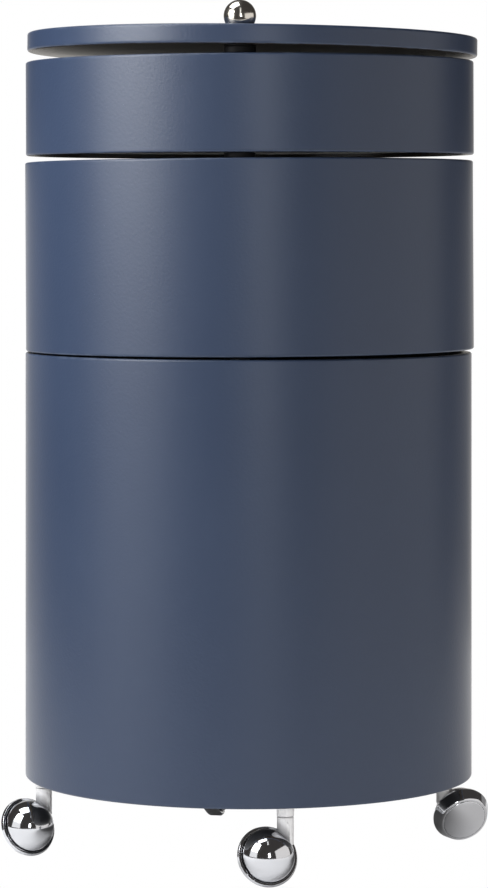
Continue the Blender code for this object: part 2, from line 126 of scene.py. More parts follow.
class Finish(Look):
    # a material whose Principled shader takes fixed numbers and linked terms alike
    def __init__(self, name):
        self.material = bpy.data.materials.new(name)
        self.material.use_nodes = True
        super().__init__(self.material.node_tree)
        self.where = self.node("ShaderNodeTexCoord")["Object"]

    def mark(self, name):
        return self.node("ShaderNodeAttribute", {"attribute_name": name})["Fac"]

    def stretched(self, scale):
        return self.node("ShaderNodeMapping", {}, {"Vector": self.where, "Scale": scale})["Vector"]

    def bumped(self, height, depth):
        return self.node("ShaderNodeBump", {}, {"Height": height, "Distance": depth})["Normal"]

    def surface(self, sockets):
        self.fill(self.tree.nodes["Principled BSDF"], sockets)
        return self.material


# satin lacquer: slow tone drift, fine orange peel, a few dust nibs, edges rubbed a touch lighter;
# the insides and the lid's underside have a darker, smoother brown coat
lacquerLook = {
    "colour": (0.0240, 0.0390, 0.0780),
    "drift": (0.0262, 0.0432, 0.0860), "driftScale": 7.0, "driftRough": 0.06,
    "rubbed": (0.055, 0.080, 0.130), "rubScale": 55.0, "rubFrom": 0.56, "rubShare": 0.5, "rubRough": 0.08,
    "inside": (0.058, 0.046, 0.036), "insideRoughness": 0.20,
    "roughness": 0.40, "grazing": 0.16,
    "peelScale": 420.0, "peelDepth": 0.00010,
    "nibScale": 95.0, "nibSize": 0.035, "nibShare": 0.12, "nibHeight": 0.8,
}


def lacquerFinish():
    look = Finish("blueLacquer")
    drift = look.noise(look.where, lacquerLook["driftScale"], detail=3.0)
    peel = look.noise(look.where, lacquerLook["peelScale"], detail=1.5)
    cells = {"Vector": look.where, "Scale": lacquerLook["nibScale"]}
    nibs = look.node("ShaderNodeTexVoronoi", {}, cells)["Distance"] < lacquerLook["nibSize"]
    patches = look.noise(look.where, lacquerLook["rubScale"], detail=4.0) > lacquerLook["rubFrom"]
    rubbed = look.mark("rim") * patches
    inside = look.mark("inside")
    facing = look.node("ShaderNodeLayerWeight", {}, {"Blend": 0.5})["Facing"]
    grazing = facing * facing * facing * facing  # satin turns glossier where it is seen edge on
    smoother = lacquerLook["roughness"] - lacquerLook["insideRoughness"]
    uneven = lacquerLook["roughness"] + lacquerLook["driftRough"] * (drift - 0.5)
    rough = uneven + lacquerLook["rubRough"] * rubbed
    tone = look.mixed(drift, lacquerLook["colour"], lacquerLook["drift"])
    coat = look.mixed(inside, tone, lacquerLook["inside"])
    lighter = lacquerLook["rubShare"] * rubbed + lacquerLook["nibShare"] * nibs
    height = (peel + lacquerLook["nibHeight"] * nibs) * (1 - inside)
    return look.surface({
        "Base Color": look.mixed(lighter, coat, lacquerLook["rubbed"]),
        "Roughness": rough - smoother * inside - lacquerLook["grazing"] * grazing * (1 - inside),
        "Normal": look.bumped(height, lacquerLook["peelDepth"]),
    })


# painted board: pale grey coat over a faint grain, near black under the base
boardLook = {
    "colour": (0.80, 0.80, 0.79), "grain": (0.70, 0.70, 0.69), "roughness": 0.50, "roughSpread": 0.15,
    "grainStretch": (18.0, 260.0, 260.0), "grainShare": 0.7, "grainDepth": 0.00012,
    "speckleScale": 900.0, "speckleShare": 0.3, "speckleHeight": 0.4,
    "under": (0.016, 0.017, 0.022), "underBelow": 0.066,
}


def boardFinish():
    look = Finish("floorBoard")
    grain = look.noise(look.stretched(boardLook["grainStretch"]), 1.0, detail=5.0)
    speckle = look.noise(look.where, boardLook["speckleScale"], detail=1.0)
    under = look.along("Z", look.where) < boardLook["underBelow"]
    darker = boardLook["grainShare"] * grain + boardLook["speckleShare"] * speckle
    coat = look.mixed(darker, boardLook["colour"], boardLook["grain"])
    return look.surface({
        "Base Color": look.mixed(under, coat, boardLook["under"]),
        "Roughness": boardLook["roughness"] + boardLook["roughSpread"] * (speckle - 0.5),
        "Normal": look.bumped(grain + boardLook["speckleHeight"] * speckle, boardLook["grainDepth"]),
    })


# plated parts: near mirror, with hairline wear that shows only as a change of gloss; satin on the stems
chromeLook = {
    "colour": (0.65, 0.66, 0.69), "worn": (0.61, 0.62, 0.645), "roughness": 0.075, "haze": 0.05,
    "cloudScale": 60.0, "hairStretch": (900.0, 900.0, 60.0), "hairFrom": 0.66, "hairShare": 0.5,
    "satin": (0.88, 0.88, 0.89), "satinRough": 0.42, "satinDull": 0.6,
}


def chromeFinish():
    look = Finish("chrome")
    cloud = look.noise(look.where, chromeLook["cloudScale"], detail=4.0)
    hairs = look.noise(look.stretched(chromeLook["hairStretch"]), 1.0, detail=2.0) > chromeLook["hairFrom"]
    satin = look.mark("satin")
    tone = look.mixed(cloud * cloud, chromeLook["colour"], chromeLook["worn"])
    haze = chromeLook["haze"] * (cloud * cloud * cloud + chromeLook["hairShare"] * hairs)
    return look.surface({
        "Base Color": look.mixed(satin, tone, chromeLook["satin"]),
        "Metallic": 1 - chromeLook["satinDull"] * satin,
        "Roughness": chromeLook["roughness"] + haze + chromeLook["satinRough"] * satin,
    })


# the ball knob: polished steel, slightly warm, with turning marks round its axis
knobLook = {
    "colour": (0.70, 0.67, 0.615), "worn": (0.62, 0.59, 0.54), "roughness": 0.14,
    "markStretch": (8.0, 8.0, 2600.0), "markRough": 0.03,
    "smudgeScale": 130.0, "smudgeFrom": 0.55, "smudgeRough": 0.05,
}


def knobFinish():
    look = Finish("polishedSteel")
    marks = look.noise(look.stretched(knobLook["markStretch"]), 1.0, detail=2.0)
    smudge = look.noise(look.where, knobLook["smudgeScale"], detail=3.0)
    rough = knobLook["roughness"] + knobLook["smudgeRough"] * (smudge > knobLook["smudgeFrom"])
    return look.surface({
        "Base Color": look.mixed(smudge, knobLook["colour"], knobLook["worn"]),
        "Metallic": 1.0,
        "Roughness": rough + knobLook["markRough"] * marks,
    })


# inner fittings: satin steel with lengthwise drawing lines
steelLook = {
    "colour": (0.55, 0.54, 0.52), "dull": (0.40, 0.39, 0.375), "roughness": 0.30,
    "lineStretch": (1800.0, 1800.0, 40.0), "lineShare": 0.6, "lineRough": 0.12, "lineDepth": 0.00004,
    "stainScale": 45.0, "stainShare": 0.4, "stainRough": 0.08,
}


def steelFinish():
    look = Finish("plainSteel")
    lines = look.noise(look.stretched(steelLook["lineStretch"]), 1.0, detail=3.0)
    stain = look.noise(look.where, steelLook["stainScale"], detail=4.0)
    duller = steelLook["lineShare"] * lines + steelLook["stainShare"] * stain
    rough = steelLook["roughness"] + steelLook["lineRough"] * lines
    return look.surface({
        "Base Color": look.mixed(duller, steelLook["colour"], steelLook["dull"]),
        "Metallic": 1.0,
        "Roughness": rough + steelLook["stainRough"] * (stain - 0.5),
        "Normal": look.bumped(lines, steelLook["lineDepth"]),
    })


# moulded plastic: near black, fine moulding texture
plasticLook = {
    "colour": (0.006, 0.006, 0.0065), "worn": (0.014, 0.014, 0.015), "roughness": 0.52, "specular": 0.05,
    "textureScale": 1500.0, "textureDepth": 0.00005, "scuffScale": 80.0, "scuffRough": 0.2,
}


def plasticFinish():
    look = Finish("blackPlastic")
    texture = look.noise(look.where, plasticLook["textureScale"], detail=2.0)
    scuff = look.noise(look.where, plasticLook["scuffScale"], detail=4.0)
    return look.surface({
        "Base Color": look.mixed(scuff * scuff, plasticLook["colour"], plasticLook["worn"]),
        "Roughness": plasticLook["roughness"] + plasticLook["scuffRough"] * (scuff - 0.5),
        "Specular IOR Level": plasticLook["specular"],
        "Normal": look.bumped(texture, plasticLook["textureDepth"]),
    })


lacquer = lacquerFinish()
board = boardFinish()
chrome = chromeFinish()
knobSteel = knobFinish()
steel = steelFinish()
plastic = plasticFinish()
print("finishes: made")


def treeSockets(tree, inputs):
    for label, kind in inputs.items():
        tree.interface.new_socket(label, in_out="INPUT", socket_type=kind)
    tree.interface.new_socket("Geometry", in_out="OUTPUT", socket_type="NodeSocketGeometry")


def treeEnd(look, shape, material):
    # every tree ends the same way: real geometry, then its finish
    real = look.node("GeometryNodeRealizeInstances", {}, {"Geometry": shape})["Geometry"]
    dressing = {"Geometry": real, "Material": material}
    dressed = look.node("GeometryNodeSetMaterial", {}, dressing)["Geometry"]
    look.node("NodeGroupOutput", {}, {"Geometry": dressed})


# a turned piece: the seed mesh is its outline, swept round a circle and closed at the poles
turning = {"reach": 0.1, "weld": 1e-6}


def turnedTree():
    tree = bpy.data.node_groups.new("turnedPiece", "GeometryNodeTree")
    treeSockets(tree, {
        "Outline": "NodeSocketGeometry",
        "Segments": "NodeSocketInt",
        "Material": "NodeSocketMaterial",
    })
    look = Look(tree)
    given = look.node("NodeGroupInput")
    outline = look.node("GeometryNodeMeshToCurve", {}, {"Mesh": given["Outline"]})["Curve"]
    circle = look.node("GeometryNodeCurvePrimitiveCircle", {}, {
        "Resolution": given["Segments"],
        "Radius": turning["reach"],
    })["Curve"]
    swept = look.node("GeometryNodeCurveToMesh", {}, {
        "Curve": circle,
        "Profile Curve": outline,
    })["Mesh"]
    welded = look.node("GeometryNodeMergeByDistance", {}, {
        "Geometry": swept,
        "Distance": turning["weld"],
    })["Geometry"]
    smooth = look.node("GeometryNodeSetShadeSmooth", {}, {"Geometry": welded})["Geometry"]
    treeEnd(look, smooth, given["Material"])
    return tree


# rows of screws: one copy of the screw on each seat point, turned to the seat's own direction
def screwTree():
    tree = bpy.data.node_groups.new("screwRow", "GeometryNodeTree")
    treeSockets(tree, {
        "Seats": "NodeSocketGeometry",
        "Screw": "NodeSocketObject",
        "Material": "NodeSocketMaterial",
    })
    look = Look(tree)
    given = look.node("NodeGroupInput")
    pattern = look.node("GeometryNodeObjectInfo", {}, {"Object": given["Screw"]})["Geometry"]
    vector = {"data_type": "FLOAT_VECTOR"}
    out = look.node("GeometryNodeInputNamedAttribute", vector, {"Name": "seatOut"})["Attribute"]
    turn = look.node("FunctionNodeAlignRotationToVector", {"axis": "Z"}, {"Vector": out})["Rotation"]
    row = look.node("GeometryNodeInstanceOnPoints", {}, {
        "Points": given["Seats"],
        "Instance": pattern,
        "Rotation": turn,
    })["Instances"]
    treeEnd(look, row, given["Material"])
    return tree


trees = {"turned": turnedTree(), "screws": screwTree()}
edgeAngles = {"rounded": math.radians(40), "sharp": math.radians(35)}


def linked(name, data):
    made = bpy.data.objects.new(name, data)
    scene.collection.objects.link(made)
    return made


def applied(made):
    # runs a piece's modifiers and keeps what comes out as a plain mesh
    graph = bpy.context.evaluated_depsgraph_get()
    mesh = bpy.data.meshes.new_from_object(made.evaluated_get(graph))
    made.modifiers.clear()
    made.data = mesh
    return made


def grown(name, tree, seed, inputs):
    # runs a tree on a seed mesh
    made = linked(name, seed)
    step = made.modifiers.new("grow", "NODES")
    step.node_group = tree
    names = {item.name: item.identifier for item in tree.interface.items_tree if item.in_out == "INPUT"}
    for label, value in inputs.items():
        step[names[label]] = value
    return applied(made)


def outwards(mesh):
    bm = bmesh.new()
    bm.from_mesh(mesh)
    bmesh.ops.recalc_face_normals(bm, faces=bm.faces)
    bm.to_mesh(mesh)
    bm.free()


def turned(name, line, material, place=Matrix(), segments=96, closed=True):
    # line: (radius, height) points; an open line starts and ends on the axis
    spots = [(radius - turning["reach"], -height, 0) for radius, height in line]
    edges = [(i, i + 1) for i in range(len(spots) - 1)]
    if closed:
        edges.append((len(spots) - 1, 0))
    seed = bpy.data.meshes.new(name)
    seed.from_pydata(spots, edges, [])
    made = grown(name, trees["turned"], seed, {"Segments": segments, "Material": material})
    made.data.transform(place)
    outwards(made.data)
    return made


def eased(corners, steps=6, support=0.5):
    # corners: (radius, height, ease); rounds each corner and keeps the sides beside it straight
    line = []
    for i, (radius, height, ease) in enumerate(corners):
        here = Vector((radius, height))
        if not ease:
            line.append(here)
            continue
        back = (Vector(corners[i - 1][:2]) - here).normalized()
        ahead = (Vector(corners[(i + 1) % len(corners)][:2]) - here).normalized()
        half = back.angle(ahead) / 2
        middle = here + (back + ahead).normalized() * ease / math.sin(half)
        start = here + back * ease / math.tan(half) - middle
        end = here + ahead * ease / math.tan(half) - middle
        sweep = start.angle(end)
        line.append(middle + start + back * ease * support)
        for k in range(steps + 1):
            reached = sweep * k / steps
            arm = start * math.sin(sweep - reached) + end * math.sin(reached)
            line.append(middle + arm / math.sin(sweep))
        line.append(middle + end + ahead * ease * support)
    return [(point.x, point.y) for point in line]


def arcLine(ball, centre, first, last, steps):
    # points of a circle about (0, centre) from one angle above the level to another, in degrees
    angles = [math.radians(first + (last - first) * i / steps) for i in range(steps + 1)]
    return [(max(0.0, ball * math.cos(a)), centre + ball * math.sin(a)) for a in angles]


def bundled(name, parts):
    # several meshes of one finish as one piece
    bm = bmesh.new()
    mesh = bpy.data.meshes.new(name)
    mesh.materials.append(parts[0].data.materials[0])
    for part in parts:
        bm.from_mesh(part.data)
        bpy.data.objects.remove(part, do_unlink=True)
    bm.to_mesh(mesh)
    bm.free()
    return linked(name, mesh)


def smoothed(mesh):
    mesh.shade_smooth()
    mesh.set_sharp_from_angle(angle=edgeAngles["sharp"])


def formed(name, bm, material, place=Matrix(), bevel=0.0, steps=3):
    # a hand-built mesh, with its hard edges rounded
    if bevel:
        hard = [e for e in bm.edges if e.is_manifold and e.calc_face_angle(0) > edgeAngles["rounded"]]
        bmesh.ops.bevel(bm, geom=hard, offset=bevel, segments=steps, affect="EDGES", profile=0.5)
    bmesh.ops.recalc_face_normals(bm, faces=bm.faces)
    mesh = bpy.data.meshes.new(name)
    bm.to_mesh(mesh)
    bm.free()
    smoothed(mesh)
    mesh.materials.append(material)
    mesh.transform(place)
    return linked(name, mesh)


def slab(outline, low, high):
    # a flat outline in plan, given a thickness
    bm = bmesh.new()
    face = bm.faces.new([bm.verts.new((x, y, low)) for x, y in outline])
    up = bmesh.ops.extrude_face_region(bm, geom=[face])["geom"]
    lifted = [v for v in up if isinstance(v, bmesh.types.BMVert)]
    bmesh.ops.translate(bm, vec=(0, 0, high - low), verts=lifted)
    return bm


def without(made, cutters):
    # takes the cutters out of a piece
    for cutter in cutters:
        step = made.modifiers.new("cut", "BOOLEAN")
        step.operation = "DIFFERENCE"
        step.solver = "EXACT"
        step.object = cutter
    applied(made)
    for cutter in cutters:
        bpy.data.objects.remove(cutter, do_unlink=True)
    smoothed(made.data)
    return made


def settle(made, body, slot, *cadNodes):
    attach(made, body)
    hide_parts(*cadNodes)


# the post stands just inside the front wall; everything above the base swings round it
pivot = {"bearing": math.radians(-92.3), "radius": 0.1746}
pivotSpot = Vector((math.cos(pivot["bearing"]), math.sin(pivot["bearing"]), 0)) * pivot["radius"]
seat = 0.0003  # the slack left between fitted pieces

# gap: to the piece below; rest: the swing, sideways lean and nod it rests at, in degrees
levels = {
    "base": {"radius": 0.19000, "gap": 0.0, "height": 0.3591, "rest": (0.0, 0.0, 0.0)},
    "middle_drum": {"radius": 0.19075, "gap": 0.0022, "height": 0.1597, "rest": (-0.25, -0.30, 0.0)},
    "top_drum": {"radius": 0.19075, "gap": 0.0047, "height": 0.0793, "rest": (-0.33, -0.18, 0.30)},
    "lid": {"radius": 0.19170, "gap": 0.0074, "height": 0.0159, "rest": (-1.05, 0.70, 0.0)},
}
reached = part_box("base_shell")[0][2]
for level in levels.values():
    level["bottom"] = reached + level["gap"]
    level["top"] = reached = level["bottom"] + level["height"]


def restPlace(level):
    # the small turns that a drum or the lid rests at, about the middle of its height on the post
    spot = Matrix.Translation(pivotSpot + Vector((0, 0, (level["bottom"] + level["top"]) / 2)))
    swing, lean, nod = [math.radians(angle) for angle in level["rest"]]
    tip = Matrix.Rotation(nod, 4, "X") @ Matrix.Rotation(lean, 4, "Y")
    return spot @ Matrix.Rotation(swing, 4, "Z") @ tip @ spot.inverted()


places = {name: restPlace(level) for name, level in levels.items()}
aboutPost = {name: place @ Matrix.Translation(pivotSpot) for name, place in places.items()}


def markCoats(made, place, level, rubReach, isInside, rimFrom=0.0):
    # rim: how close a point beyond rimFrom is to a rim, where the lacquer rubs lighter;
    # inside: where the brown coat is
    def nearRim(p):
        if p.xy.length <= rimFrom:
            return 0.0
        return max(0.0, 1 - min(p.z - level["bottom"], level["top"] - p.z) / rubReach)

    back = place.inverted()
    spots = [back @ v.co for v in made.data.vertices]
    rim = made.data.attributes.new("rim", "FLOAT", "POINT")
    rim.data.foreach_set("value", [nearRim(p) for p in spots])
    inside = made.data.attributes.new("inside", "FLOAT", "POINT")
    inside.data.foreach_set("value", [float(isInside(p.xy.length, p.z)) for p in spots])


drum = {"wall": 0.007, "outerEase": 0.0016, "innerEase": 0.0010, "rubReach": 0.0025, "segments": 256}

for name in ("base", "middle_drum", "top_drum"):
    level = levels[name]
    inner = level["radius"] - drum["wall"]
    shell = turned(name + "_shell_lacquered", eased([
        (inner, level["bottom"], drum["innerEase"]),
        (level["radius"], level["bottom"], drum["outerEase"]),
        (level["radius"], level["top"], drum["outerEase"]),
        (inner, level["top"], drum["innerEase"]),
    ]), lacquer, places[name], drum["segments"])
    inwards = level["radius"] - 1.1 * drum["outerEase"]  # just past the rounded outer edges
    markCoats(shell, places[name], level, drum["rubReach"], lambda r, z: r < inwards)
    settle(shell, name, "blue_lacquer", name + "_shell")
print("shells: turned")

lidPanel = {
    "edge": 0.0021, "hole": 0.0088, "holePast": 0.01,
    "border": 0.0045, "rubWidth": 0.0040, "rubReach": 0.0025,
}
level = levels["lid"]
holeLow = level["bottom"] - lidPanel["holePast"]
holeHigh = level["top"] + lidPanel["holePast"]
hole = turned("lidHole", [
    (0, holeLow),
    (lidPanel["hole"], holeLow),
    (lidPanel["hole"], holeHigh),
    (0, holeHigh),
], lacquer, aboutPost["lid"], segments=64, closed=False)
border = level["radius"] - lidPanel["border"]
disc = turned("lid_panel_lacquered", eased([
    (0, level["bottom"], 0),
    (border, level["bottom"], 0),
    (level["radius"], level["bottom"], lidPanel["edge"]),
    (level["radius"], level["top"], lidPanel["edge"]),
    (border, level["top"], 0),
    (0, level["top"], 0),
], steps=8), lacquer, places["lid"], drum["segments"], closed=False)
lid = without(disc, [hole])
underside = level["bottom"] + 0.1 * lidPanel["edge"]  # just above the flat of the underside
rubFrom = level["radius"] - lidPanel["rubWidth"]
markCoats(lid, places["lid"], level, lidPanel["rubReach"], lambda r, z: z < underside, rubFrom)
settle(lid, "lid", "blue_lacquer", "lid_panel")
print("lid: turned")

floors = {
    "base": {"rise": 0.0, "thickness": 0.018},
    "middle_drum": {"rise": 0.004, "thickness": 0.009},
    "top_drum": {"rise": 0.004, "thickness": 0.009},
}
floorEdge = {"steps": 240, "bevel": 0.0006, "notchHalf": 0.0082, "notchSteps": 20}
for name, panel in floors.items():
    panel["low"] = levels[name]["bottom"] + panel["rise"]
    panel["high"] = panel["low"] + panel["thickness"]
    panel["radius"] = levels[name]["radius"] - drum["wall"] - seat


def floorOutline(radius, notched):
    # a disc in plan, with a round-ended notch that clears the sleeve
    steps = floorEdge["steps"]
    if not notched:
        around = [math.tau * i / steps for i in range(steps)]
        return [(radius * math.cos(a), radius * math.sin(a)) for a in around]
    half = floorEdge["notchHalf"]
    opening = math.asin(half / radius)
    around = [opening + (math.tau - 2 * opening) * i / steps for i in range(steps + 1)]
    edge = [(radius * math.cos(a), radius * math.sin(a)) for a in around]
    backSteps = floorEdge["notchSteps"]
    turnBack = [math.radians(-90 - 180 * i / backSteps) for i in range(backSteps + 1)]
    bay = [(pivot["radius"] + half * math.cos(a), half * math.sin(a)) for a in turnBack]
    spin = Matrix.Rotation(pivot["bearing"], 2)
    return [tuple(spin @ Vector(point)) for point in edge + bay]


for name, panel in floors.items():
    bm = slab(floorOutline(panel["radius"], name != "base"), panel["low"], panel["high"])
    panelMade = formed(name + "_floor_painted", bm, board, places[name], floorEdge["bevel"], steps=2)
    settle(panelMade, name, "floor_board", name + "_floor")
print("floors: cut")

sleeve = {"bore": 0.0063, "radius": 0.0079, "ease": 0.0004}
leaf = {
    "thickness": 0.002, "width": 0.0895, "margin": 0.004, "steps": 24, "bevel": 0.0005,
    "screwEdge": 0.0144, "clampDrop": 0.060,
}
facet = math.cos(math.pi / 72)  # the CAD drum's flats, which the leaf lies against
clampLow = levels["base"]["top"] - leaf["clampDrop"]
leaves = {
    "base": {"low": clampLow, "tube": clampLow, "rows": 1},
    "middle_drum": {"low": floors["middle_drum"]["high"] + leaf["margin"], "rows": 2},
    "top_drum": {"low": floors["top_drum"]["high"] + leaf["margin"], "rows": 1},
}
screw = {
    "head": 0.0034, "crown": 0.0024, "height": 0.0019, "segments": 32,
    "cross": 0.0018, "slot": 0.00042, "depth": 0.0009,
}


def leafFace(name):
    return (levels[name]["radius"] - drum["wall"]) * facet - seat - leaf["thickness"]


def bentLeaf(name, spans):
    inner = leafFace(name)
    outer = inner + leaf["thickness"]
    half = leaf["width"] / 2 / outer
    angles = [pivot["bearing"] - half + 2 * half * i / leaf["steps"] for i in range(leaf["steps"] + 1)]
    outline = [(outer * math.cos(a), outer * math.sin(a)) for a in angles]
    outline += [(inner * math.cos(a), inner * math.sin(a)) for a in reversed(angles)]
    bm = slab(outline, spans["low"], spans["high"])
    return formed(name + "Leaf", bm, steel, places[name], leaf["bevel"])


def leafSeats(name, spans):
    # screw seats on the leaf's inner face, beside the sleeve
    face = leafFace(name)
    seats = []
    for side in (-1, 1):
        bearing = pivot["bearing"] + side * (leaf["width"] / 2 - leaf["screwEdge"]) / face
        inward = Vector((-math.cos(bearing), -math.sin(bearing), 0))
        for row in range(spans["rows"]):
            height = spans["low"] + (row + 0.5) * (spans["high"] - spans["low"]) / spans["rows"]
            spot = -face * inward + Vector((0, 0, height)) + seat * inward
            seats.append((places[name] @ spot, places[name].to_3x3() @ inward))
    return seats


def screwShape():
    # a pan head with a cross recess, seat at the origin
    head = turned("screwShape", [
        (0, 0),
        (screw["head"], 0),
        (screw["head"], 0.45 * screw["height"]),
        (0.93 * screw["head"], 0.72 * screw["height"]),
        (screw["crown"], 0.95 * screw["height"]),
        (0.5 * screw["crown"], screw["height"]),
        (0, screw["height"]),
    ], steel, segments=screw["segments"], closed=False)
    cutters = []
    for long, wide in ((screw["cross"], screw["slot"]), (screw["slot"], screw["cross"])):
        corners = [(-long, -wide), (long, -wide), (long, wide), (-long, wide)]
        bm = slab(corners, screw["height"] - screw["depth"], 2 * screw["height"])
        cutters.append(formed("crossArm", bm, steel))
    return without(head, cutters)


def screwRow(name, seats, body, *cadNodes):
    mesh = bpy.data.meshes.new(name)
    mesh.from_pydata([spot for spot, _ in seats], [], [])
    out = mesh.attributes.new("seatOut", "FLOAT_VECTOR", "POINT")
    out.data.foreach_set("vector", [value for _, way in seats for value in way])
    row = grown(name, trees["screws"], mesh, {"Screw": screwPattern, "Material": steel})
    settle(row, body, "plain_steel", *cadNodes)


screwPattern = screwShape()
for name, spans in leaves.items():
    low = spans.get("tube", levels[name]["bottom"])
    high = levels[name]["top"]
    spans["high"] = high - leaf["margin"]
    tube = turned(name + "Tube", eased([
        (sleeve["bore"], low, sleeve["ease"]),
        (sleeve["radius"], low, sleeve["ease"]),
        (sleeve["radius"], high, sleeve["ease"]),
        (sleeve["bore"], high, sleeve["ease"]),
    ], steps=3), steel, aboutPost[name], segments=64)
    pair = [tube, bentLeaf(name, spans)]
    if name == "base":
        settle(bundled("post_clamp_satin", pair), name, "plain_steel", "post_clamp")
    else:
        settle(bundled(name + "_sleeve_satin", pair), name, "plain_steel", name + "_sleeve")
        nodes = [f"{name}_leaf_screw_{i + 1}" for i in range(2 * spans["rows"])]
        screwRow(name + "_leaf_screws", leafSeats(name, spans), name, *nodes)

foot = {
    "plate": 0.004, "front": -0.0074, "back": 0.046, "half": 0.0100, "bevel": 0.0007,
    "bore": 0.0058, "bossRise": 0.001, "height": 0.022, "ease": 0.0006, "boreEase": 0.0003,
    "screwReaches": (0.021, 0.038),
}
footLow = floors["base"]["high"] + seat
plateTop = footLow + foot["plate"]
bossLow = footLow + foot["bossRise"]
bossTop = footLow + foot["height"]
inward = Matrix.Translation(pivotSpot) @ Matrix.Rotation(pivot["bearing"] + math.pi, 4, "Z")
plate = formed("footPlate", slab([
    (foot["front"], -foot["half"]),
    (foot["back"], -foot["half"]),
    (foot["back"], foot["half"]),
    (foot["front"], foot["half"]),
], footLow, plateTop), steel, inward, foot["bevel"])
boss = turned("footBoss", eased([
    (foot["bore"], bossLow, 0),
    (sleeve["radius"], bossLow, 0),
    (sleeve["radius"], bossTop, foot["ease"]),
    (foot["bore"], bossTop, foot["boreEase"]),
], steps=3), steel, aboutPost["base"], segments=64)
settle(bundled("post_foot_satin", [plate, boss]), "base", "plain_steel", "post_foot")
footSpots = [inward @ Vector((reach, 0, plateTop + seat)) for reach in foot["screwReaches"]]
footSeats = [(spot, Vector((0, 0, 1))) for spot in footSpots]
screwRow("base_screws", leafSeats("base", leaves["base"]) + footSeats, "base",
         "clamp_screw_1", "clamp_screw_2", "foot_screw_1", "foot_screw_2")
bpy.data.objects.remove(screwPattern, do_unlink=True)

post = {"radius": 0.0055, "past": 0.0110, "ease": 0.0005}
postTop = levels["lid"]["top"] + post["past"]
postRod = turned("pivot_post_satin", eased([
    (0, footLow, 0),
    (post["radius"], footLow, post["ease"]),
    (post["radius"], postTop, post["ease"]),
    (0, postTop, 0),
], steps=3), steel, aboutPost["base"], segments=48, closed=False)
settle(postRod, "base", "plain_steel", "pivot_post")

knob = {"radius": 0.01309, "rise": 0.0065, "steps": 64, "segments": 128}
knobSeat = levels["lid"]["top"] + seat
ballFrom = -math.degrees(math.asin(knob["rise"] / knob["radius"]))
ball = [(0, knobSeat)] + arcLine(knob["radius"], knobSeat + knob["rise"], ballFrom, 90, knob["steps"])
knobBall = turned(
    "ball_knob_polished", ball, knobSteel, aboutPost["base"], knob["segments"], closed=False,
)
settle(knobBall, "base", "polished_steel", "ball_knob")

bush = {"bore": 0.0063, "neck": 0.0085, "flange": 0.0015, "ease": 0.0003}
under = levels["lid"]["bottom"] - seat
flangeLow = under - bush["flange"]
bushTop = levels["lid"]["top"] - seat
spacers = {
    "lower_spacer": (levels["base"]["top"], levels["middle_drum"]["bottom"]),
    "middle_spacer": (levels["middle_drum"]["top"], levels["top_drum"]["bottom"]),
    "upper_spacer": (levels["top_drum"]["top"], flangeLow),
}
spacer = {"radius": 0.0127, "bore": 0.0058, "ease": 0.0005, "boreEase": 0.0002}
for name, (below, above) in spacers.items():
    low = below + seat
    high = above - seat
    ring = turned(name + "_moulded", eased([
        (spacer["bore"], low, spacer["boreEase"]),
        (spacer["radius"], low, spacer["ease"]),
        (spacer["radius"], high, spacer["ease"]),
        (spacer["bore"], high, spacer["boreEase"]),
    ], steps=4), plastic, aboutPost["base"])
    settle(ring, "base", "black_plastic", name)

collar = turned("lid_bush_moulded", eased([
    (bush["bore"], flangeLow, bush["ease"]),
    (spacer["radius"], flangeLow, bush["ease"]),
    (spacer["radius"], under, bush["ease"]),
    (bush["neck"], under, 0),
    (bush["neck"], bushTop, bush["ease"]),
    (bush["bore"], bushTop, bush["ease"]),
], steps=3), plastic, aboutPost["lid"])
settle(collar, "lid", "black_plastic", "lid_bush")
print("post, sleeves, screws, knob and spacers: made")

# each side: how far in from the circle its stem stands, and the way its wheel trails, in degrees
castor = {
    "circle": 0.1755, "turn": 9.7, "trail": 0.0144, "sideStep": -0.0026, "slope": math.radians(24.5),
    "sides": {"front": (0.0, 195.5), "right": (0.0045, 18.3), "rear": (0.0, 261.8), "left": (0.0, 214.0)},
}
wheel = {
    "radius": 0.0252 * math.cos(math.pi / 24),  # inside the CAD wheel's flats
    "tread": 0.0093, "wall": 0.0024, "shoulder": 0.0009, "backEase": 0.0025, "edgeEase": 0.0010,
    "lipInset": 0.0008, "lipDepth": 0.0026, "lipWall": 0.0021, "lipEase": 0.0004, "lipInEase": 0.0003,
    "capHeight": 0.0045, "coreRecess": 0.0018, "coreBore": 0.0033, "gap": 0.0006, "segments": 128,
}
hood = {"radius": 0.0217, "height": 0.0199, "shell": 0.0016}
stem = {"radius": 0.00675, "dip": 0.0100, "ease": 0.0006, "dimple": 0.00055, "dimpleDrop": 0.0040}
ferrule = {"radius": 0.0070, "drop": 0.0077, "ease": 0.0005, "bore": 0.0043, "boreEase": 0.0002}
ferruleTop = levels["base"]["bottom"] - seat
ferruleLow = levels["base"]["bottom"] - ferrule["drop"]
stemTop = ferruleLow - wheel["gap"]
hubHeight = wheel["radius"] * math.cos(castor["slope"])
treadDrop = wheel["tread"] * math.cos(castor["slope"])
backRadius = wheel["radius"] - wheel["tread"] * math.sin(castor["slope"])


def domeLine(radius, height, base, way, steps=28):
    # a spherical cap from its rim to its pole
    ball = (radius * radius + height * height) / (2 * height)
    first = math.degrees(math.acos(radius / ball))
    if height > radius:
        first = -first
    rimHeight = ball * math.sin(math.radians(first))
    return [(r, base + way * (h - rimHeight)) for r, h in arcLine(ball, 0, first, 90, steps)]


def markSatin(made, amount):
    satin = made.data.attributes.new("satin", "FLOAT", "POINT")
    satin.data.foreach_set("value", [amount] * len(made.data.vertices))


